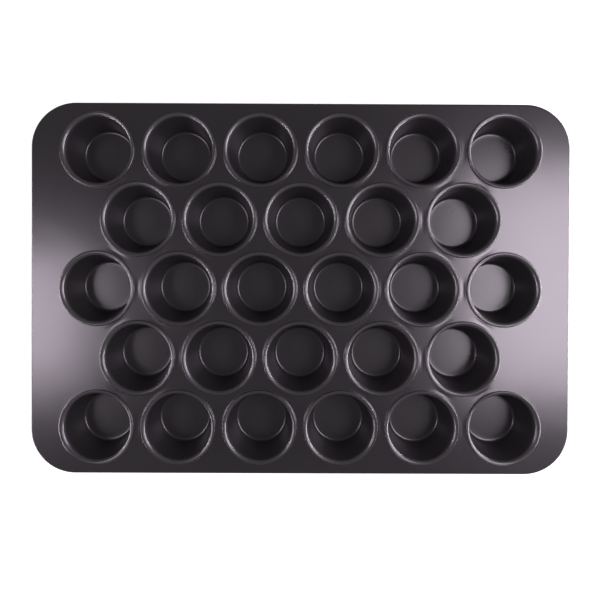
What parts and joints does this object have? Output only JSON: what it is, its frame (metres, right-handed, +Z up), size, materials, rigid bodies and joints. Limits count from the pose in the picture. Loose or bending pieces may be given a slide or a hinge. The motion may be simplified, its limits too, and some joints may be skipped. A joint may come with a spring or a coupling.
{
  "type": "muffin tray",
  "caption": "Full-size bakery muffin tray: tapered round cups with rounded lips hung in staggered rows in one flat plate with rounded corners and a rolled, wired edge.",
  "frame": {"origin": "centre of the tray on the surface that its cups stand on", "axes": "+X along the tray's long side, +Y towards its back, +Z up out of the cups"},
  "size_m": [0.657, 0.4524, 0.041],
  "materials": {
    "plate_coating": "dark charcoal nonstick coating with a purple cast, semi-gloss",
    "cup_coating": "dark charcoal nonstick coating, smooth semi-gloss",
    "wire_steel": "plain drawn steel wire"
  },
  "bodies": {
    "root": {"top_plate": "plate_coating", "rim_wire": "wire_steel", "cup_1_1": "cup_coating", "cup_1_2": "cup_coating", "cup_1_3": "cup_coating", "cup_1_4": "cup_coating", "cup_1_5": "cup_coating", "cup_1_6": "cup_coating", "cup_2_1": "cup_coating", "cup_2_2": "cup_coating", "cup_2_3": "cup_coating", "cup_2_4": "cup_coating", "cup_2_5": "cup_coating", "cup_3_1": "cup_coating", "cup_3_2": "cup_coating", "cup_3_3": "cup_coating", "cup_3_4": "cup_coating", "cup_3_5": "cup_coating", "cup_3_6": "cup_coating", "cup_4_1": "cup_coating", "cup_4_2": "cup_coating", "cup_4_3": "cup_coating", "cup_4_4": "cup_coating", "cup_4_5": "cup_coating", "cup_5_1": "cup_coating", "cup_5_2": "cup_coating", "cup_5_3": "cup_coating", "cup_5_4": "cup_coating", "cup_5_5": "cup_coating", "cup_5_6": "cup_coating"}
  },
  "joints": []
}
